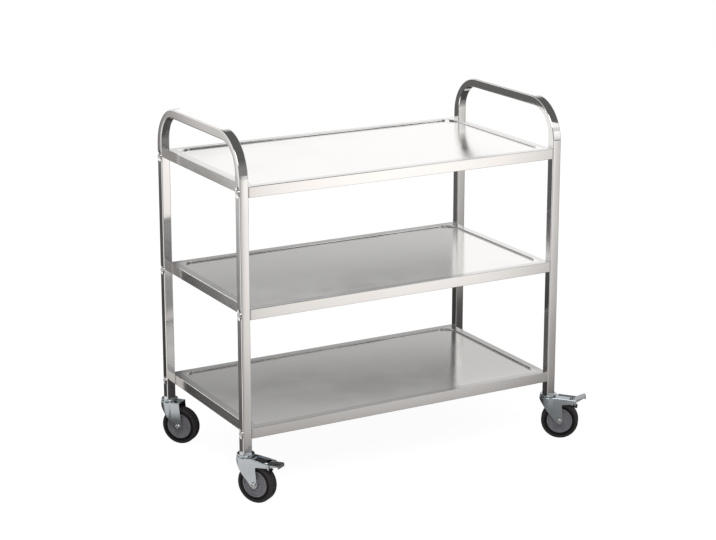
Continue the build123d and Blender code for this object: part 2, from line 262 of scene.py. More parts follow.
left_frame = blank("end_frame_left_tube")
upright_panel(high.y, high.z, bend_outside)
upright_panel(high.y - tube * mm, high.z - tube * mm, bend_inside)
take_all()
bpy.ops.mesh.bridge_edge_loops()
take_all()
pull(x=tube)
face_out()
pick("EDGE", lambda at, part: folded(part) and at.z > foot + mm)
round_off(tube_corner, steps=4)
leave_edit()
print("bent tube:", faces_of(left_frame), "faces")

# %% [markdown]
# Where a bolt goes through, the press that set it left a shallow dish in the face of the leg. A ball
# much larger than the leg gives that shape: its cap is taken out of the outer face. The balls are laid
# with their poles towards the leg, so that their rings of faces run round the bolt.

# %% Dishes for the bolt heads
dish_ball = 60
dish_depth = 2
apron = 28
shelf_rims = {name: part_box(f"shelf_{name}")[1].z for name in ("top", "middle", "bottom")}
bolt_y = high.y - tube * mm / 2
bolt_places = [(side * bolt_y, rim - apron * mm / 2) for rim in shelf_rims.values() for side in (-1, 1)]
balls = blank("balls")
for y, z in bolt_places:
    centre = (low.x - (dish_ball - dish_depth) * mm, y, z)
    bpy.ops.mesh.primitive_uv_sphere_add(
        segments=64, ring_count=72, radius=dish_ball * mm, location=centre, rotation=lengthways)
leave_edit()
cut(left_frame, balls)
polish(left_frame)
half_turn = Matrix.Rotation(math.pi, 4, "Z")
right_frame = copy_of(left_frame, "end_frame_right_tube", half_turn)
for side, piece in (("left", left_frame), ("right", right_frame)):
    dress(piece, "frame", f"end_frame_{side}", "stainless_tube")
print("end frame with six dishes:", faces_of(left_frame), "faces")

# %% [markdown]
# ## Shelves
# A shelf is one sheet of steel, pressed down into a shallow well and folded over at all four sides into
# an apron with a safe inner edge. It is drawn as two outlines, the fold and the lip of the well, that
# have equally many points, so bridging them gives a clean rim. The apron and the well are then pulled
# out of the two loops, every fold is rounded with its own radius, and Solidify gives the sheet its
# thickness.

# %% The pressed tray
tray_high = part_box("shelf_top")[1]
rim = tray_high.z
rim_width = 21
tray_corner = 2
well_depth = 4
well_corner = 40
well_x = tray_high.x - rim_width * mm
well_y = tray_high.y - rim_width * mm
safe_edge = 8


def rounded_plate(half_x, half_y, corner):
    """In edit mode, add the outline of a plate with round corners, level with the rim."""
    bpy.ops.mesh.primitive_plane_add(size=1, location=(0, 0, rim))
    bpy.ops.transform.resize(value=(2 * half_x, 2 * half_y, 1))
    round_off(corner, steps=8, of="VERTICES")
    bpy.ops.mesh.delete(type="ONLY_FACE")


def inside_well(at, slack=0.5 * mm):
    """True within the outline of the well."""
    return abs(at.x) < well_x + slack and abs(at.y) < well_y + slack


tray = blank("shelf_top_tray")
rounded_plate(tray_high.x, tray_high.y, tray_corner)
rounded_plate(well_x, well_y, well_corner)
take_all()
bpy.ops.mesh.bridge_edge_loops()
pick("EDGE", lambda at, part: part.is_boundary and not inside_well(at))
pull(z=-apron)
bpy.ops.mesh.extrude_region_move()
inward = ((tray_high.x - safe_edge * mm) / tray_high.x, (tray_high.y - safe_edge * mm) / tray_high.y, 1)
bpy.ops.transform.resize(value=inward, center_override=(0, 0, rim - apron * mm))
pick("EDGE", lambda at, part: part.is_boundary and inside_well(at) and near(at.z, rim))
pull(z=-well_depth)
bpy.ops.mesh.edge_face_add()
print("folded sheet, still sharp:", len(bmesh.from_edit_mesh(tray.data).faces), "faces")

# %% Folds of the tray
sheet = 1
folds = [  # height, radius in millimetres, steps, and whether the fold belongs to the well
    (rim - well_depth * mm, 2, 5, True),
    (rim, 1, 4, True),
    (rim, 1.9, 5, False),
    (rim - apron * mm, 1.2, 3, False),
]
face_out()
for height, radius, steps, of_well in folds:
    pick("EDGE", lambda at, part: folded(part) and near(at.z, height) and inside_well(at) == of_well)
    round_off(radius, steps)
leave_edit()
# An open sheet has no inside, so its faces may have been turned down.
up = sum(face.normal.z * face.area for face in tray.data.polygons)
if up < 0:
    edit(tray)
    take_all()
    bpy.ops.mesh.flip_normals()
    leave_edit()
bpy.ops.object.modifier_add(type="SOLIDIFY")
tray.modifiers[-1].thickness = sheet * mm
tray.modifiers[-1].offset = -1
bpy.ops.object.modifier_apply(modifier=tray.modifiers[-1].name)
polish(tray)
print("finished tray:", faces_of(tray), "faces")

# %% Three shelves
trays = {"top": tray}
for name in ("middle", "bottom"):
    drop = shelf_rims[name] - shelf_rims["top"]
    trays[name] = copy_of(tray, f"shelf_{name}_tray", Matrix.Translation((0, 0, drop)))
for name, piece in trays.items():
    dress(piece, "frame", f"shelf_{name}", "stainless_sheet")
print("shelf rims in mm:", [round(z / mm, 1) for z in shelf_rims.values()])

# %% [markdown]
# ## Shelf bolts
# Twelve plain domed heads hold the shelves in their corners. One is made from a short cylinder whose
# outer edge is bevelled well in towards the middle, which is how a turned dome looks, and then copied
# to each bolt hole. The other round pieces start from the same kind of rod.

# %% Domed bolts
def rod(radius, length, place, sides, lie=(0, 0, 0)):
    """A cylinder, upright or laid over, sized in millimetres, with its place in its mesh."""
    put_down()
    bpy.ops.mesh.primitive_cylinder_add(
        vertices=sides, radius=radius * mm, depth=length * mm, location=place, rotation=lie)
    bpy.ops.object.transform_apply(location=True, rotation=True)
    return bpy.context.object


head_radius = 7
head_height = 5.5
head_edge = 1.2
shank_radius = 3
shank_length = 30
bolts_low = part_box("shelf_bolts_left")[0]
bolt = rod(head_radius, head_height, (bolts_low.x + head_height * mm / 2, 0, 0), 40, lengthways)
edit(bolt)
pick("EDGE", lambda at, part: folded(part) and near(at.x, bolts_low.x, mm))
round_off(head_height - head_edge, steps=8, profile=0.42)
pick("FACE", lambda at, part: part.normal.x > 0.9)
bpy.ops.mesh.inset(thickness=(head_radius - shank_radius) * mm)
pull(x=shank_length)
polish(bolt)
for side, turned in (("left", Matrix()), ("right", half_turn)):
    copies = [copy_of(bolt, "bolt", turned @ Matrix.Translation((0, y, z))) for y, z in bolt_places]
    work_on(copies[0])
    for piece in copies:
        piece.select_set(True)
    bpy.ops.object.join()
    bolts = bpy.context.object
    bolts.name = f"shelf_bolts_{side}_domed"
    dress(bolts, "frame", f"shelf_bolts_{side}", "fastener")
    print(bolts.name, faces_of(bolts), "faces")
bpy.data.objects.remove(bolt)

# %% [markdown]
# ## Castors
# A castor is easiest to think about by itself, so one is modelled with its swivel axis on the Z axis
# and its wheel trailing towards +X, and each finished piece is copied under a leg and turned the way
# that castor happens to stand. The sizes repeat those of the solids.

# %% Where each castor stands
castor_turn = {"front_left": -57, "rear_left": -50, "front_right": -37, "rear_right": -44}
braked_places = ("front_left", "front_right")
wheel_radius = 51
trail = 33
axle = Vector((trail, 0, wheel_radius)) * mm
across = (math.pi / 2, 0, 0)


def stand(place):
    """Matrix that takes a piece from the castor's own frame to its leg."""
    x = low.x + tube * mm / 2
    x = x if "left" in place else -x
    y = -bolt_y if "front" in place else bolt_y
    return Matrix.Translation((x, y, 0)) @ Matrix.Rotation(math.radians(castor_turn[place]), 4, "Z")


def hand_out(piece, name, body, slot, places=tuple(castor_turn), then=None):
    """Copy a castor piece to each place, first turned as one place may ask, and dress it."""
    for place in places:
        inner = (then or {}).get(place, Matrix())
        twin = copy_of(piece, f"{name}_{place}_dressed", stand(place) @ inner)
        dress(twin, body.format(place), f"{name}_{place}", slot)
    bpy.data.objects.remove(piece)


print("castors at", [tuple(round(v / mm) for v in stand(place).translation) for place in castor_turn])

# %% Drawing side views
def side_view(x, z, y=0):
    """Point of a side view, in millimetres, in the castor's own frame."""
    return Vector((x, y, z)) * mm


def swing(centre, radius, start, end, steps):
    """Points of an arc in side view, angles in degrees."""
    angles = [math.radians(start + (end - start) * step / steps) for step in range(steps + 1)]
    return [side_view(centre[0] + radius * math.cos(a), centre[1] + radius * math.sin(a)) for a in angles]


def trace(name, points):
    """Draw a closed flat outline, extruding one point after another, and fill it."""
    put_down()
    bpy.ops.mesh.primitive_plane_add(size=mm)
    piece = bpy.context.object
    piece.name = name
    bpy.ops.object.mode_set(mode="EDIT")
    bpy.ops.mesh.select_mode(type="VERT")
    take_all()
    bpy.ops.mesh.merge(type="CENTER")
    bpy.ops.transform.translate(value=points[0])
    for here, there in zip(points, points[1:]):
        bpy.ops.mesh.extrude_vertices_move(TRANSFORM_OT_translate={"value": there - here})
    take_all()
    bpy.ops.mesh.edge_face_add()
    return piece


print("side views are drawn round the axle at", [round(v / mm) for v in axle])

# %% [markdown]
# ## Wheels
# The tyre and the hub are both turned shapes, so a half section is drawn above the axle and spun once
# round it. The tyre gets round shoulders and a fine mould groove on each side; the hub gets a rim, a
# sunken web with a raised ring, and a boss. Drawing the section flat and spinning it keeps every ring of
# faces true to the axle, which a sculpted cylinder would not. Outside its groove the tyre also gets a
# value that grows outwards, so that painted light makes its finish paler towards the tread, as in the
# photograph.

# %% Spun pieces
def both_sides(half):
    """A section of (radius, along) points from one half and its mirror image."""
    return half + [(radius, -along) for radius, along in reversed(half)]


def spun(name, section, steps, rounding):
    """Spin a section round the axle, with some points rounded: (points, size, steps)."""
    points = [axle + Vector((0, along, radius)) * mm for radius, along in section]
    piece = trace(name, points)
    for chosen, size, count in rounding:
        corners = [points[index] for index in chosen]
        pick("VERT", lambda at, part: any((at - corner).length < 0.01 * mm for corner in corners))
        round_off(size, count, of="VERTICES")
    take_all()
    bpy.ops.mesh.delete(type="ONLY_FACE")
    take_all()
    bpy.ops.mesh.spin(steps=steps, angle=2 * math.pi, center=axle, axis=(0, 1, 0))
    polish(piece)
    return piece


half_tyre = 14
hub_rim = 35
groove = 0.7 - half_tyre
groove_outside = 40.5
tread_light_width = 4
tyre_half = [(hub_rim, -half_tyre), (38.5, -half_tyre), (39, groove), (40, groove),
             (groove_outside, -half_tyre), (wheel_radius, -half_tyre)]
tyre = spun("tyre", both_sides(tyre_half), 96, [((5, 6), 5, 8)])
# Painted light on the tread: a value from none just outside the groove to one a few millimetres further out.
painted_tread_light = tyre.data.attributes.new("painted_tread_light", "FLOAT", "POINT")
for vertex in tyre.data.vertices:
    out = math.hypot(vertex.co.x - axle.x, vertex.co.z - axle.z) / mm
    painted_tread_light.data[vertex.index].value = min(1, max(0, (out - groove_outside) / tread_light_width))
print("tyre:", faces_of(tyre), "faces")
hand_out(tyre, "wheel_tyre", "wheel_{}", "black_tyre")

# %% Hubs
bore = 6.1
boss_end = 17.5
boss_radius = 12
web = 10
ring = 11.2
hub_half = [(bore, boss_end), (boss_radius, boss_end), (boss_radius, web), (20, web), (20.6, ring),
            (23, ring), (23.6, web), (31, web), (31.4, half_tyre), (34.9, half_tyre)]
hub_section = both_sides(hub_half)
last = len(hub_section) - 1
hub = spun("hub", hub_section, 72, [((1, last - 1), 1, 3), ((2, last - 2), 1.5, 3), ((7, last - 7), 1.5, 3),
                                    ((8, 9, last - 8, last - 9), 0.8, 2)])
print("hub:", faces_of(hub), "faces")
hand_out(hub, "wheel_hub", "wheel_{}", "grey_hub")

# %% [markdown]
# ## Axle bolt and nut
# The bolt's domed head shows on one cheek of the fork and its nut on the other. The head is a bevelled
# cylinder with a socket inset into it, and the nut is a six-sided cylinder whose corners are chamfered
# by keeping only what it shares with a dome, the way a lathe takes the corners off real nuts.

# %% Axle bolts
cheek = 20.5
axle_head_radius = 7.5
axle_head = 4.5
axle_dome = 3
socket_wall = 1.3
socket_depth = 2.5
axle_radius = 4
axle_overhang = 8
head_y = -(cheek + axle_head / 2) * mm
face_y = -(cheek + axle_head) * mm
axle_bolt = rod(axle_head_radius, axle_head, axle + Vector((0, head_y, 0)), 36, across)
edit(axle_bolt)
pick("EDGE", lambda at, part: folded(part) and near(at.y, face_y, 0.1 * mm))
round_off(axle_dome, steps=6)
pick("FACE", lambda at, part: part.normal.y < -0.99 and near(at.y, face_y, 0.1 * mm))
bpy.ops.mesh.inset(thickness=socket_wall * mm)
pull(y=socket_depth)
pick("FACE", lambda at, part: part.normal.y > 0.99 and near(at.y, -cheek * mm, 0.1 * mm))
bpy.ops.mesh.inset(thickness=(axle_head_radius - axle_radius) * mm)
pull(y=2 * cheek + axle_overhang)
polish(axle_bolt)
print("axle bolt:", faces_of(axle_bolt), "faces")
hand_out(axle_bolt, "axle_bolt", "swivel_{}", "fastener")

# %% Axle nuts
nut_height = 6.5
across_flats = 13
nut_dome = 11.6
nut_dome_back = 7
nut_middle = axle + Vector((0, (cheek + nut_height / 2) * mm, 0))
dome_middle = nut_middle - Vector((0, nut_dome_back, 0)) * mm
axle_nut = rod(across_flats / math.sqrt(3), nut_height, nut_middle, 6, across)
bpy.ops.mesh.primitive_uv_sphere_add(segments=48, ring_count=32, radius=nut_dome * mm, location=dome_middle)
cut(axle_nut, bpy.context.object, "INTERSECT")
polish(axle_nut)
print("axle nut:", faces_of(axle_nut), "faces")
hand_out(axle_nut, "axle_nut", "swivel_{}", "fastener")

# %% [markdown]
# ## Bearing cups
# Between leg and fork sits a shallow pressed cup that hides a ring of balls. It is a cylinder with a
# rounded shoulder, hollowed from below by an inset pushed upwards, so that the gap above the fork is a
# real gap that catches shadow.

# %% Cups
cup_low = 120.5
cup_high = foot / mm
cup_radius = 23
cup_wall = 3
cup_hollow = 2.2
shoulder = 1.5
cup_lip = 0.8
cup = rod(cup_radius, cup_high - cup_low, (0, 0, (cup_high + cup_low) / 2 * mm), 64)
edit(cup)
pick("EDGE", lambda at, part: folded(part) and near(at.z, cup_high * mm))
round_off(shoulder, steps=5)
pick("FACE", lambda at, part: part.normal.z < -0.99)
bpy.ops.mesh.inset(thickness=cup_wall * mm)
pull(z=cup_hollow)
outside = (cup_radius - cup_wall / 2) * mm
pick("EDGE", lambda at, part: folded(part) and near(at.z, cup_low * mm) and at.xy.length > outside)
round_off(cup_lip, steps=3)
polish(cup)
print("cup:", faces_of(cup), "faces")
hand_out(cup, "castor_cup", "frame", "zinc_plate")

# %% [markdown]
# ## Forks
# The fork is a folded sheet: a round crown under the cup that draws in to a narrower cheek on each side,
# turned down to hold the axle. A braked fork's cheeks run on behind as two flanges with a sunken floor
# between them. Bending a sheet in Blender would need many cuts, so the fork is carved instead: its side
# view is pulled to full width, trimmed to its plan, rounded along the fold, hollowed from below, and
# bored last for the stem, the axle and the brake pin.

# %% Side views of the fork
roof = 118
nose = 24
roof_back = 37
cheek_top = roof - 7.5
boss = 10
flange_start = 28
flange_end = 78
flange_height = 11
slope = math.tan(math.radians(5.3))
throat = (42.6, 95)
throat_radius = 4
throat_turn = (95.4, 185.8)


def touch(point, side):
    """Angle, in degrees, at which a line from a point touches the axle boss on one side."""
    dx = point[0] - trail
    dz = point[1] - wheel_radius
    towards = math.degrees(math.atan2(dz, dx))
    return towards + side * math.degrees(math.acos(boss / math.hypot(dx, dz)))


def fork_side(braked):
    """Side view of a fork as points, from the nose over the roof and round the axle boss."""
    points = [side_view(-nose, cheek_top), side_view(-nose, roof)]
    if braked:
        flange_top = roof - (flange_end - flange_start) * slope
        points += [side_view(flange_start, roof), side_view(flange_end, flange_top),
                   side_view(flange_end, flange_top - flange_height)]
        points += swing(throat, throat_radius, *throat_turn, 6)
    else:
        points += [side_view(roof_back, roof), side_view(roof_back, cheek_top)]
    first = touch((roof_back, cheek_top), -1)
    last = touch((-nose, cheek_top), 1)
    points += swing((trail, wheel_radius), boss, first, last - 360, 16)
    return points


print("boss touched at", round(touch((roof_back, cheek_top), -1)), "and", round(touch((-nose, cheek_top), 1)))

# %% Slabs and plans
nose_blend = 8
beyond = 160
drill_length = 80


def slab(name, points, width):
    """A side view pulled out to a width, half to each side."""
    points = [point + Vector((0, -width / 2 * mm, 0)) for point in points]
    piece = trace(name, points)
    take_all()
    pull(y=width)
    face_out()
    leave_edit()
    return piece


def round_nose(inset):
    """Tall block of the fork's plan, drawn in by the thickness of the sheet for its inside."""
    half = cheek - inset
    turn = nose - inset
    blend = nose_blend + inset
    from_y = half + blend
    from_x = math.sqrt((turn + blend) ** 2 - from_y**2)
    lean = math.degrees(math.atan2(from_y, from_x))
    upper = swing((from_x, from_y), blend, 270, 180 + lean, 6)
    front = swing((0, 0), turn, lean, 360 - lean, 48)[1:-1]
    lower = swing((from_x, -from_y), blend, 180 - lean, 90, 6)
    outline = upper + front + lower + [side_view(beyond, -half), side_view(beyond, half)]
    piece = trace("plan", [Vector((point.x, point.z, 0)) for point in outline])
    take_all()
    pull(z=beyond)
    face_out()
    leave_edit()
    return piece


def drill(piece, radius, place, lie=(0, 0, 0)):
    """Bore a round hole through a piece, upright or laid over."""
    cut(piece, rod(radius, drill_length, place, 48, lie))


print("crown", 2 * nose, "mm wide, cheeks", 2 * cheek, "mm")

# %% Carving the forks
fork_sheet = 2.5
fold_radius = 2.2
edge_radius = 0.5
floor_drop = 3
floor_start = 25.5
floor_end = 59
hollow_front, hollow_back, hollow_width = -60, 150, 60
edges_from = 15
collars = ((19.4, 119.6), (16.9, 121.9))
stem_hole = 6.1
axle_hole = 4.1
pin_hole = 2.6
pivot = (70, 106.5)


def on_fold(at, edge):
    """True for the edges where roof and flanges turn down into the cheeks."""
    level = roof - max(0, at.x / mm - flange_start) * slope
    within = abs(at.x) < (flange_end - 0.1) * mm
    return folded(edge, 60) and near(at.z, level * mm, 0.05 * mm) and within


def on_cheek(at, edge):
    """True for the edges of the cheeks' outer faces, behind the crown."""
    return folded(edge, 60) and near(abs(at.y), cheek * mm, 0.05 * mm) and at.x > edges_from * mm


def fork(braked):
    """Carve one fork, with or without the flanges for a brake."""
    piece = slab("fork", fork_side(braked), 2 * nose + 4)
    cut(piece, round_nose(0), "INTERSECT")
    edit(piece)
    pick("EDGE", on_fold)
    round_off(fold_radius, steps=4)
    ceiling = roof - fork_sheet
    dip = floor_drop + (floor_end - flange_start) * slope
    under = [(hollow_front, 0), (hollow_front, ceiling)]
    if braked:
        under += [(floor_start, ceiling), (floor_start, ceiling - floor_drop), (floor_end, ceiling - dip),
                  (floor_end, beyond), (hollow_back, beyond), (hollow_back, 0)]
    else:
        under += [(hollow_back, ceiling), (hollow_back, 0)]
    hollow = slab("hollow", [side_view(*point) for point in under], hollow_width)
    cut(hollow, round_nose(fork_sheet), "INTERSECT")
    cut(piece, hollow)
    if braked:
        open_end = floor_end + 0.5
        channel = [(flange_start, roof - floor_drop), (flange_start, beyond), (open_end, beyond),
                   (open_end, roof - dip)]
        cut(piece, slab("channel", [side_view(*point) for point in channel], 2 * (cheek - fork_sheet)))
    root = ceiling + 1
    for radius, top in collars:
        cut(piece, rod(radius, top - root, (0, 0, (top + root) / 2 * mm), 48), "UNION")
    edit(piece)
    pick("EDGE", on_cheek)
    round_off(edge_radius, steps=2)
    drill(piece, stem_hole, (0, 0, roof * mm))
    drill(piece, axle_hole, axle, across)
    if braked:
        drill(piece, pin_hole, side_view(*pivot), across)
    polish(piece)
    print("fork with flanges:" if braked else "plain fork:", faces_of(piece), "faces")
    return piece


plain_places = tuple(place for place in castor_turn if place not in braked_places)
hand_out(fork(False), "castor_fork", "swivel_{}", "zinc_plate", plain_places)
hand_out(fork(True), "castor_fork", "swivel_{}", "zinc_plate", braked_places)

# %% [markdown]
# ## Foot brakes
# Both front castors carry a pedal that rocks on a pin between the flanges and presses a rubber shoe
# on the tyre. The pedals are drawn pressed, which is how the left one stands; the right one is turned
# up about its pin. Tread, lip and arm are one outline each: tread and lip are joined and trimmed to a
# plan with round corners, the arm is joined on, and the pin's hole is bored through.

# %% Side views of the pedal
pedal_length = 34
pedal_width = 34
pedal_down = 6
half_thick = 1.5
pedal_boss = 4.2
lip_drop = 4.5
lip_turn = math.degrees(math.atan2(lip_drop, pedal_length))
shoe_from = 42
shoe_to = 56
shoe_gap = 0.4
shoe_thickness = 6
shoe_near = wheel_radius + shoe_gap
shoe_far = shoe_near + shoe_thickness
wheel_middle = (trail, wheel_radius)


def from_point(point, length, degrees):
    """Side-view point at a length and an angle from another."""
    angle = math.radians(degrees)
    return (point[0] + length * math.cos(angle), point[1] + length * math.sin(angle))


def bar(start, start_radius, end, end_radius):
    """Side view of a bar with two round ends, one larger than the other."""
    run = Vector(end) - Vector(start)
    heading = math.degrees(math.atan2(run.y, run.x))
    lean = math.degrees(math.acos((start_radius - end_radius) / run.length))
    near_end = swing(start, start_radius, heading + lean, heading + 360 - lean, 12)
    far_end = swing(end, end_radius, heading - lean, heading + lean, 8)
    return near_end + far_end


tip = from_point(pivot, pedal_length, pedal_down)
lip = from_point(pivot, pedal_length, pedal_down - lip_turn)
arm_end = from_point(wheel_middle, shoe_far, (shoe_from + shoe_to) / 2)
print("pedal tip at", [round(v, 1) for v in tip], "and arm end at", [round(v, 1) for v in arm_end])

# %% Pedals
travel = 22
shoe_width = 20
tread_corner = 6
plan_height = 80
halfway = side_view(85, 110)
# Slightly smaller radii keep joined round ends from coinciding.
lip_end = half_thick - 0.01
arm_start = pedal_boss - 0.05
pedal = slab("pedal", bar(pivot, pedal_boss, tip, half_thick), pedal_width)
cut(pedal, slab("lip", bar(tip, half_thick, lip, lip_end), pedal_width), "UNION")
put_down()
bpy.ops.mesh.primitive_cube_add(size=1, location=halfway)
plan = bpy.context.object
plan.scale = (2 * ((max(lip[0], tip[0]) + half_thick) * mm - halfway.x), pedal_width * mm, plan_height * mm)
bpy.ops.object.transform_apply(location=True, scale=True)
edit(plan)
pick("EDGE", lambda at, part: near(at.z, halfway.z) and at.x > halfway.x)
round_off(tread_corner, steps=6)
cut(pedal, plan, "INTERSECT")
cut(pedal, slab("arm", bar(pivot, arm_start, arm_end, half_thick), shoe_width), "UNION")
drill(pedal, pin_hole, side_view(*pivot), across)
polish(pedal)
print("pedal:", faces_of(pedal), "faces")
hinge = Matrix.Translation(side_view(*pivot))
lifted = {"front_right": hinge @ Matrix.Rotation(math.radians(-travel), 4, "Y") @ hinge.inverted()}
hand_out(pedal, "brake_pedal", "brake_{}", "pedal_steel", braked_places, lifted)

# %% Brake shoes
shoe_edge = 0.7
shoe_outline = swing(wheel_middle, shoe_near, shoe_from, shoe_to, 8)
shoe_outline += swing(wheel_middle, shoe_far, shoe_to, shoe_from, 8)
shoe = slab("shoe", shoe_outline, shoe_width)
edit(shoe)
pick("EDGE", lambda at, part: folded(part, 60))
round_off(shoe_edge, steps=2)
polish(shoe)
print("shoe:", faces_of(shoe), "faces")
hand_out(shoe, "brake_shoe", "brake_{}", "brake_rubber", braked_places, lifted)

# %% Brake pins
pin_radius = 2.5
pin_head_radius = 4
pin_head = 1.5
pin_edge = 0.6
pin = rod(pin_radius, 2 * cheek + pin_head, side_view(*pivot), 32, across)
for side in (-1, 1):
    head_place = side_view(*pivot, side * (cheek + pin_head / 2))
    cut(pin, rod(pin_head_radius, pin_head, head_place, 32, across), "UNION")
edit(pin)
pick("EDGE", lambda at, part: folded(part, 60) and abs(at.y) > (cheek + pin_head - 0.1) * mm)
round_off(pin_edge, steps=3)
polish(pin)
print("pin:", faces_of(pin), "faces")
hand_out(pin, "brake_pin", "swivel_{}", "fastener", braked_places)

# %% [markdown]
# ## Finishes
# Nearly everything here is bare metal, and bare metal shows its making: drawing and brushing leave fine
# lines along the piece, handling leaves faint clouds, and plating has a blotchy bloom. These effects are
# shared, so each is a node group built once. A group only puts out masks, roughness and heights; the
# shader itself stays in each material, with its plain values on its own sockets.

# %% Node helpers
def new_group(name, inputs):
    """A shader node group with named inputs, and the three outputs that every effect here has."""
    tree = bpy.data.node_groups.new(name, "ShaderNodeTree")
    for label, value in inputs.items():
        kind = "NodeSocketVector" if value is None else "NodeSocketFloat"
        socket = tree.interface.new_socket(label, in_out="INPUT", socket_type=kind)
        if value is not None:
            socket.default_value = value
    for label in ("Tone", "Roughness", "Height"):
        tree.interface.new_socket(label, in_out="OUTPUT", socket_type="NodeSocketFloat")
    return tree, tree.nodes.new("NodeGroupInput").outputs


def add(tree, kind, sockets=None, **settings):
    """A node with some of its settings made, and some of its sockets linked or filled in."""
    node = tree.nodes.new(kind)
    for label, value in settings.items():
        setattr(node, label, value)
    for label, value in (sockets or {}).items():
        if isinstance(value, bpy.types.NodeSocket):
            tree.links.new(value, node.inputs[label])
        else:
            node.inputs[label].default_value = value
    return node


def reckon(tree, operation, *measures):
    """One step of arithmetic."""
    return add(tree, "ShaderNodeMath", dict(enumerate(measures)), operation=operation).outputs[0]


def noise(tree, place, scale, **sockets):
    """A cloudy pattern between none and one."""
    return add(tree, "ShaderNodeTexNoise", {"Vector": place, "Scale": scale, **sockets}).outputs["Fac"]


def ranged(tree, source, lowest, highest):
    """Stretch the busy middle of a noise to a range."""
    sockets = {"Value": source, "From Min": 0.3, "From Max": 0.7, "To Min": lowest, "To Max": highest}
    return add(tree, "ShaderNodeMapRange", sockets).outputs["Result"]


def blended(tree, way, amount, first, second, **settings):
    """Two colours blended in one of Blender's ways."""
    sockets = {"Factor": amount, "A": first, "B": second}
    node = add(tree, "ShaderNodeMix", sockets, data_type="RGBA", blend_type=way, **settings)
    return node.outputs["Result"]


print("nodes are added, linked and reckoned in one call each")

# %% Brushed metal group
brushed, given = new_group(
    "brushed metal", {"Along": None, "Place": None, "Grain": 900, "Cloud": 6, "Smooth": 0.15, "Dull": 0.25})
lines = noise(brushed, given["Along"], given["Grain"], Detail=3, Roughness=0.6)
cloud = noise(brushed, given["Place"], given["Cloud"], Detail=4, Roughness=0.55)
tone = reckon(brushed, "MULTIPLY_ADD", ranged(brushed, lines, 0, 1), 0.35, ranged(brushed, cloud, 0, 0.65))
add(brushed, "NodeGroupOutput", {
    "Tone": tone, "Roughness": ranged(brushed, tone, given["Smooth"], given["Dull"]), "Height": lines})
print("shared group:", brushed.name)

# %% Moulded surface group
moulded, given = new_group(
    "moulded surface", {"Place": None, "Pits": 1500, "Cloud": 40, "Smooth": 0.4, "Dull": 0.6})
pits = noise(moulded, given["Place"], given["Pits"], Detail=2)
cloud = noise(moulded, given["Place"], given["Cloud"], Detail=5, Roughness=0.6)
add(moulded, "NodeGroupOutput", {
    "Tone": ranged(moulded, cloud, 0, 1),
    "Roughness": ranged(moulded, cloud, given["Smooth"], given["Dull"]), "Height": pits})
print("shared group:", moulded.name)

# %% [markdown]
# A finish is then a short recipe: which group, how its lines run, two tones to drift between, and how
# rough the surface is at its smoothest and dullest. The lines run along the tubes, along the shelves, and
# nowhere in particular on plated and moulded pieces. Two recipes have an extra: painted shade darkens the
# shelves on the upward faces of the rims round their wells, and painted light makes the tyres paler
# outwards, both to match the photograph's tones.

# %% From a recipe to a material
# How far the painted shade darkens the upward faces of the shelves' rims.
rim_shade_level = 0.8
looks_up = 0.9


def painted_rim_shade(tree, place, colour, edges):
    """Darken a colour with painted shade on the faces that look up past the edges of a shelf's well."""
    spread = add(tree, "ShaderNodeVectorMath", {0: place}, operation="ABSOLUTE").outputs[0]
    apart = add(tree, "ShaderNodeSeparateXYZ", {0: spread}).outputs
    normal = add(tree, "ShaderNodeNewGeometry").outputs["Normal"]
    facing = add(tree, "ShaderNodeSeparateXYZ", {0: normal}).outputs["Z"]
    past = [reckon(tree, "GREATER_THAN", apart[axis], edge) for axis, edge in zip("XY", edges)]
    upward = reckon(tree, "GREATER_THAN", facing, looks_up)
    on_rim = reckon(tree, "MULTIPLY", reckon(tree, "MAXIMUM", *past), upward)
    return blended(tree, "MULTIPLY", on_rim, colour, (rim_shade_level, rim_shade_level, rim_shade_level, 1))


def finish(name, effect, tones, smooth, dull, bump, metallic=1.0, shine=0.5, stretch=(1, 1, 1), well=None,
           painted_light_tint=None, **values):
    """Build one material from a shared effect."""
    material = bpy.data.materials.new(name)
    material.use_nodes = True
    tree = material.node_tree
    shader = tree.nodes["Principled BSDF"]
    shader.inputs["Metallic"].default_value = metallic
    shader.inputs["Specular IOR Level"].default_value = shine
    place = add(tree, "ShaderNodeTexCoord").outputs["Object"]
    given = {"Place": place, "Smooth": smooth, "Dull": dull, **values}
    if effect == brushed:
        lines = add(tree, "ShaderNodeMapping", {"Vector": place, "Scale": stretch})
        given["Along"] = lines.outputs["Vector"]
    surface = add(tree, "ShaderNodeGroup", given, node_tree=effect).outputs
    colour = blended(tree, "MIX", surface["Tone"], *((*tone, 1) for tone in tones))
    # Painted shade: the upward faces of a shelf's rim round its well are darkened.
    if well:
        colour = painted_rim_shade(tree, place, colour, well)
    # Painted light: a pale tint is added where the tyre's value grows towards its tread.
    if painted_light_tint:
        amount = add(tree, "ShaderNodeAttribute", attribute_name="painted_tread_light").outputs["Fac"]
        colour = blended(tree, "ADD", amount, colour, (*painted_light_tint, 1))
    relief = add(tree, "ShaderNodeBump", {"Height": surface["Height"], "Strength": bump, "Distance": 0.0002})
    tree.links.new(colour, shader.inputs["Base Color"])
    tree.links.new(surface["Roughness"], shader.inputs["Roughness"])
    tree.links.new(relief.outputs["Normal"], shader.inputs["Normal"])
    return material


# Painted shade: the rims are darkened to this level.
print("rims are dulled to", rim_shade_level)

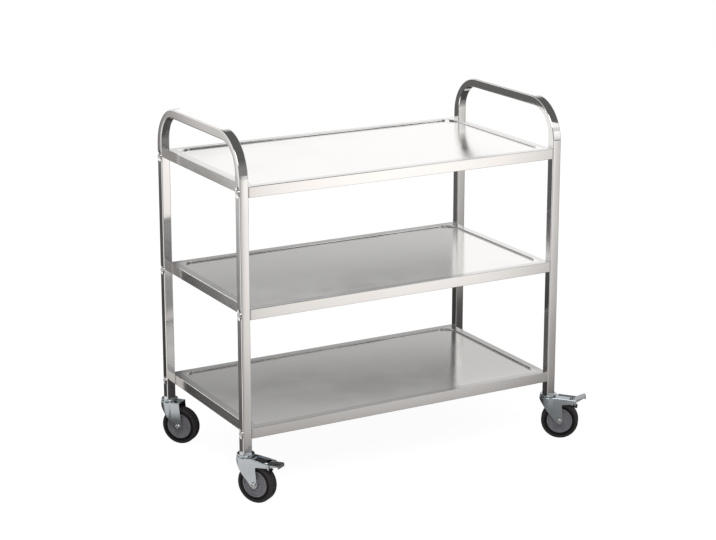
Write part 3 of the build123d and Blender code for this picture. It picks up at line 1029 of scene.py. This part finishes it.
# %% Recipes
bright = [(0.80, 0.785, 0.77), (0.86, 0.85, 0.84)]
plastic = {"metallic": 0.0}
rubber = {"metallic": 0.0, "shine": 0.2}
finishes = {
    "stainless_tube": finish("polished stainless tube", brushed, bright, 0.05, 0.10, 0.012,
                             stretch=(1, 1, 0.02)),
    # The sheet's rims round the wells are darkened with painted shade.
    "stainless_sheet": finish("satin stainless sheet", brushed, bright, 0.13, 0.18, 0.012,
                              stretch=(0.02, 1, 1), well=(0.43, 0.23)),
    "fastener": finish("bright steel bolt", brushed, [(0.62, 0.61, 0.60), (0.76, 0.75, 0.74)],
                       0.2, 0.32, 0.03),
    "zinc_plate": finish("blue zinc plate", brushed, [(0.60, 0.66, 0.70), (0.72, 0.77, 0.81)],
                         0.11, 0.19, 0.02, Cloud=30, Grain=500),
    "pedal_steel": finish("plated pedal steel", brushed, [(0.52, 0.53, 0.57), (0.64, 0.65, 0.68)],
                          0.24, 0.36, 0.04, Cloud=40, Grain=450),
    "bearing_steel": finish("ground bearing steel", brushed, [(0.55, 0.55, 0.56), (0.68, 0.68, 0.69)],
                            0.12, 0.2, 0.02),
    "grey_nylon": finish("grey nylon plug", moulded, [(0.16, 0.16, 0.165), (0.20, 0.20, 0.205)],
                         0.45, 0.6, 0.05, **plastic),
    "grey_hub": finish("grey moulded hub", moulded, [(0.15, 0.147, 0.165), (0.20, 0.195, 0.215)],
                       0.36, 0.5, 0.04, **plastic),
    # The tyre's tread is made paler with painted light.
    "black_tyre": finish("black tyre rubber", moulded, [(0.006, 0.0055, 0.006), (0.014, 0.012, 0.013)],
                         0.5, 0.7, 0.08, **rubber, painted_light_tint=(0.028, 0.024, 0.026), Cloud=28, Pits=900),
    "brake_rubber": finish("brake rubber", moulded, [(0.012, 0.012, 0.012), (0.024, 0.024, 0.024)],
                           0.6, 0.8, 0.12, **rubber, Pits=700),
}
for slot, pieces in dressed.items():
    for piece in pieces:
        piece.data.materials.clear()
        piece.data.materials.append(finishes[slot])
print("finishes:", ", ".join(finishes))

# %% [markdown]
# Washers, nuts, plugs, stems, sleeves and balls are right as solids and are mostly out of sight, so they
# stay as they are and only take a finish.

# %% Finishes for the solids that stay
kept = {"shelf_washers": "fastener", "shelf_nuts": "fastener", "castor_insert": "grey_nylon",
        "castor_stem": "zinc_plate", "castor_balls": "bearing_steel", "axle_sleeve": "bearing_steel"}
count = 0
for name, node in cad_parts.items():
    for start, slot in kept.items():
        if name.startswith(start):
            for held in node.material_slots:
                held.material = finishes[slot]
            count += 1
print("solids that stay:", count)

# %% [markdown]
# ## The studio
# Polished steel is a picture of its surroundings, so the studio matters as much as the steel. To the eye,
# the floor and the space around are white. To a mirror, the room is a lit backdrop behind the trolley, a
# floor that brightens away from it, and darkness overhead and behind the camera. The mirrored floor is
# graded along the two ways that the legs and aprons look: forwards from their front sides, and back past
# the left end from their outer sides. Across those ways its tones fan out from the camera's mirror image
# in the front or the left faces, so each band shows on the same leg or stretch of apron at any height.
# The fans are laid for the photograph's view, and from elsewhere the steel shows other tones.

# %% Graded tones
def graded(tree, source, stops, tint=(1, 1, 1)):
    """A colour that runs through tones, each given with the measure where it is reached."""
    first, last = stops[0][0], stops[-1][0]
    spread = add(tree, "ShaderNodeMapRange", {"Value": source, "From Min": first, "From Max": last})
    bands = add(tree, "ShaderNodeValToRGB", {"Fac": spread.outputs["Result"]})
    elements = bands.color_ramp.elements
    for measure, level in stops[1:-1]:
        elements.new((measure - first) / (last - first)).color = (*(level * part for part in tint), 1)
    for element, (measure, level) in zip((elements[0], elements[-1]), (stops[0], stops[-1])):
        element.color = (*(level * part for part in tint), 1)
    return bands.outputs["Color"]


def along(tree, place, heading, offset=0.0):
    """How far a place lies along a heading."""
    reach = add(tree, "ShaderNodeVectorMath", {0: place, 1: heading}, operation="DOT_PRODUCT")
    return reckon(tree, "ADD", reach.outputs["Value"], offset)


def by_mirror(tree, direct, mirrored):
    """One shader for what is seen directly, and another for what is seen in a mirror or through glass."""
    path = add(tree, "ShaderNodeLightPath").outputs
    mirror = reckon(tree, "MAXIMUM", path["Is Glossy Ray"], path["Is Transmission Ray"])
    return add(tree, "ShaderNodeMixShader", {"Fac": mirror, 1: direct, 2: mirrored}).outputs[0]


print("tones are graded by distance, by angle and by what sees them")

# %% Tones of the mirrored floor
paper = bpy.data.materials.new("studio paper")
paper.use_nodes = True
tree = paper.node_tree
tree.nodes.clear()
where = add(tree, "ShaderNodeTexCoord").outputs["Object"]
warm = (1, 0.97, 0.95)
image_in_front = (-2.461, 3.9)  # the camera's mirror image in the front faces, in metres on the floor
image_in_left = (1.511, -4.4)  # and in the left faces
ahead = graded(tree, along(tree, where, (0, -1, 0)),
               [(0.3, 0.2), (0.52, 0.28), (0.6, 0.46), (0.7, 0.62), (0.96, 0.7), (1.15, 0.82), (1.4, 1.0),
                (1.7, 1.06), (2.2, 1.18), (2.6, 1.26), (3.3, 1.36)], warm)
from_left = along(tree, where, (1, 0, 0), -image_in_front[0])
from_back = along(tree, where, (0, -1, 0), image_in_front[1])
sideways = graded(tree, reckon(tree, "DIVIDE", from_left, from_back),
                  [(0.44, 0.3), (0.47, 0.34), (0.478, 0.84), (0.533, 0.93), (0.593, 1), (0.653, 0.95),
                   (0.685, 0.76), (0.705, 0.56), (0.77, 0.38)])
outwards = graded(tree, along(tree, where, (-1, 0, 0)),
                  [(0.75, 0.11), (0.9, 0.14), (1.0, 0.14), (1.14, 0.18), (1.43, 0.18), (1.64, 0.24),
                   (1.79, 0.32), (1.95, 0.48), (2.3, 0.64)], warm)
from_front = along(tree, where, (0, 1, 0), -image_in_left[1])
from_right = along(tree, where, (-1, 0, 0), image_in_left[0])
backwards = graded(tree, reckon(tree, "DIVIDE", from_front, from_right),
                   [(1.9, 6), (2.062, 6), (2.084, 1.1), (2.1, 1.05), (2.2155, 1), (2.32, 0.55),
                    (2.345, 0.42)])
in_front = blended(tree, "MULTIPLY", 1.0, ahead, sideways)
at_left = blended(tree, "MULTIPLY", 1.0, outwards, backwards, clamp_result=True)
towards_left = (-0.47, 0.88, 0)
leftness = add(tree, "ShaderNodeMapRange", {
    "Value": along(tree, where, towards_left), "From Min": -0.3, "From Max": -0.15}).outputs["Result"]
reflected = add(tree, "ShaderNodeEmission", {"Color": blended(tree, "MIX", leftness, in_front, at_left)})
print("mirrored floor: fans from", image_in_front, "and", image_in_left)

# %% Floor
floor_radius = 7
white_share = 0.84
put_down()
bpy.ops.mesh.primitive_circle_add(vertices=96, radius=floor_radius, fill_type="NGON")
floor = bpy.context.object
floor.name = "floor"
matte = add(tree, "ShaderNodeBsdfDiffuse", {"Color": (0.86, 0.855, 0.85, 1)})
white = add(tree, "ShaderNodeEmission", {"Color": (1, 1, 1, 1), "Strength": 1.12})
seen = reckon(tree, "MULTIPLY", add(tree, "ShaderNodeLightPath").outputs["Is Camera Ray"], white_share)
shown = add(tree, "ShaderNodeMixShader", {"Fac": seen, 1: matte.outputs[0], 2: white.outputs[0]})
both = by_mirror(tree, shown.outputs[0], reflected.outputs[0])
add(tree, "ShaderNodeOutputMaterial", {"Surface": both})
floor.data.materials.append(paper)
print("floor:", floor_radius, "metres to its edge")

# %% [markdown]
# Cards that only mirrors can see stand round the trolley, as a product photographer would set them. The
# legs, shelves and handles look in different directions, so the dark and the grey card stand edge on to
# the pieces that should not show them. In the photograph's view the grey and the low card are for the
# lower shelves, the dark one for the inner sides of the right end frame, the bright and the knee card for
# the bends of the handles, and the small flag for one dull stretch of the rear left leg.

# %% Cards
def card(name, start, end, low, tops, tones, lean=0.0, ends=(1, 1)):
    """A card between two floor points, with a tone at each height above a line that leans back."""
    put_down()
    bpy.ops.mesh.primitive_plane_add(size=1)
    board = bpy.context.object
    board.name = name
    for corner in board.data.vertices:
        foot, top = (start, tops[0]) if corner.co.x < 0 else (end, tops[1])
        corner.co = (*foot, low if corner.co.y < 0 else top)
    material = bpy.data.materials.new(name)
    material.use_nodes = True
    tree = material.node_tree
    tree.nodes.clear()
    place = add(tree, "ShaderNodeTexCoord").outputs["Object"]
    height = along(tree, place, (0, -lean, 1), lean * start[1])
    fade = add(tree, "ShaderNodeMapRange", {
        "Value": along(tree, place, (1, 0, 0)), "From Min": start[0], "From Max": end[0],
        "To Min": ends[0], "To Max": ends[1]}).outputs["Result"]
    glow = add(tree, "ShaderNodeEmission", {"Color": graded(tree, height, tones), "Strength": fade})
    add(tree, "ShaderNodeOutputMaterial", {"Surface": glow.outputs[0]})
    board.data.materials.append(material)
    for sight in ("visible_camera", "visible_diffuse", "visible_shadow", "visible_transmission"):
        setattr(board, sight, False)
    print(name, "from", start, "to", end)


card("dark_card", (-0.41, 0.46), (0.03, 1.27), 0, (0.8, 0.8), [(0, 0.05), (0.3, 0.11), (0.8, 0.14)])
card("grey_card", (0.58, 0.45), (-0.35, 2.13), 0, (0.79, 1.285),
     [(0.22, 0.52), (0.3, 0.48), (0.37, 0.36), (0.4, 0.28), (0.47, 0.28), (0.53, 0.58), (0.57, 0.58),
      (0.63, 0.54), (0.68, 0.42), (0.72, 0.36), (0.79, 0.3)], lean=0.294, ends=(1.12, 0.86))
card("low_card", (0.6, 0.46), (1.3, 0.46), 0, (0.49, 0.49), [(0, 0.64), (0.49, 0.66)])
card("bright_card", (0.72, -1.5), (1.62, -1.5), 0.7, (2.6, 2.6),
     [(0.7, 0.75), (0.95, 1.05), (1.22, 1.2), (1.3, 0.8), (1.5, 0.8), (1.6, 1.15), (2.6, 1.15)])
card("knee_card", (0.1, -1.5), (0.45, -1.5), 0.62, (0.83, 0.83), [(0.62, 0.8), (0.83, 0.8)])
card("flag_card", (-0.05, -0.9), (0.09, -0.9), 0, (0.14, 0.14), [(0, 0.28), (0.14, 0.28)])

# %% [markdown]
# The light itself is plain: an even soft glow from all round and one large lamp over the front left. The
# eye sees the room as white, and a mirror sees its backdrop fade upwards and towards the front.

# %% The room
world = bpy.data.worlds.new("studio")
bpy.context.scene.world = world
world.use_nodes = True
tree = world.node_tree
tree.nodes.clear()
soft = add(tree, "ShaderNodeBackground", {"Color": (1, 1, 1, 1), "Strength": 0.55})
white = add(tree, "ShaderNodeBackground", {"Color": (1, 1, 1, 1), "Strength": 1.0})
heading = add(tree, "ShaderNodeTexCoord").outputs["Generated"]
way = add(tree, "ShaderNodeSeparateXYZ", {0: heading}).outputs
behind = add(tree, "ShaderNodeMapRange", {
    "Value": way["Y"], "From Min": -0.2, "From Max": 0.3, "To Min": 0.12})
low_down = add(tree, "ShaderNodeMapRange", {"Value": way["Z"], "From Min": 0.6, "From Max": 0.3})
backdrop = reckon(tree, "MULTIPLY", behind.outputs["Result"], low_down.outputs["Result"])
level = add(tree, "ShaderNodeMapRange", {"Value": backdrop, "To Min": 0.12, "To Max": 1.14}).outputs["Result"]
room = add(tree, "ShaderNodeBackground", {"Color": (1, 1, 1, 1), "Strength": level})
seen = add(tree, "ShaderNodeLightPath").outputs["Is Camera Ray"]
direct = add(tree, "ShaderNodeMixShader", {"Fac": seen, 1: soft.outputs[0], 2: white.outputs[0]})
add(tree, "ShaderNodeOutputWorld", {"Surface": by_mirror(tree, direct.outputs[0], room.outputs[0])})
print("room:", world.name)

# %% Lamp
lamp = bpy.data.objects.new("softbox", bpy.data.lights.new("softbox", "AREA"))
bpy.context.scene.collection.objects.link(lamp)
lamp.data.size = 2.4
lamp.data.energy = 70
lamp.location = (-1.4, -2.6, 3.4)
lit_point = Vector((0, 0, 0.5))
lamp.rotation_euler = (lit_point - lamp.location).to_track_quat("-Z", "Y").to_euler()
bpy.context.scene.view_settings.view_transform = "Standard"
print("lamp at", [round(v, 2) for v in lamp.location])
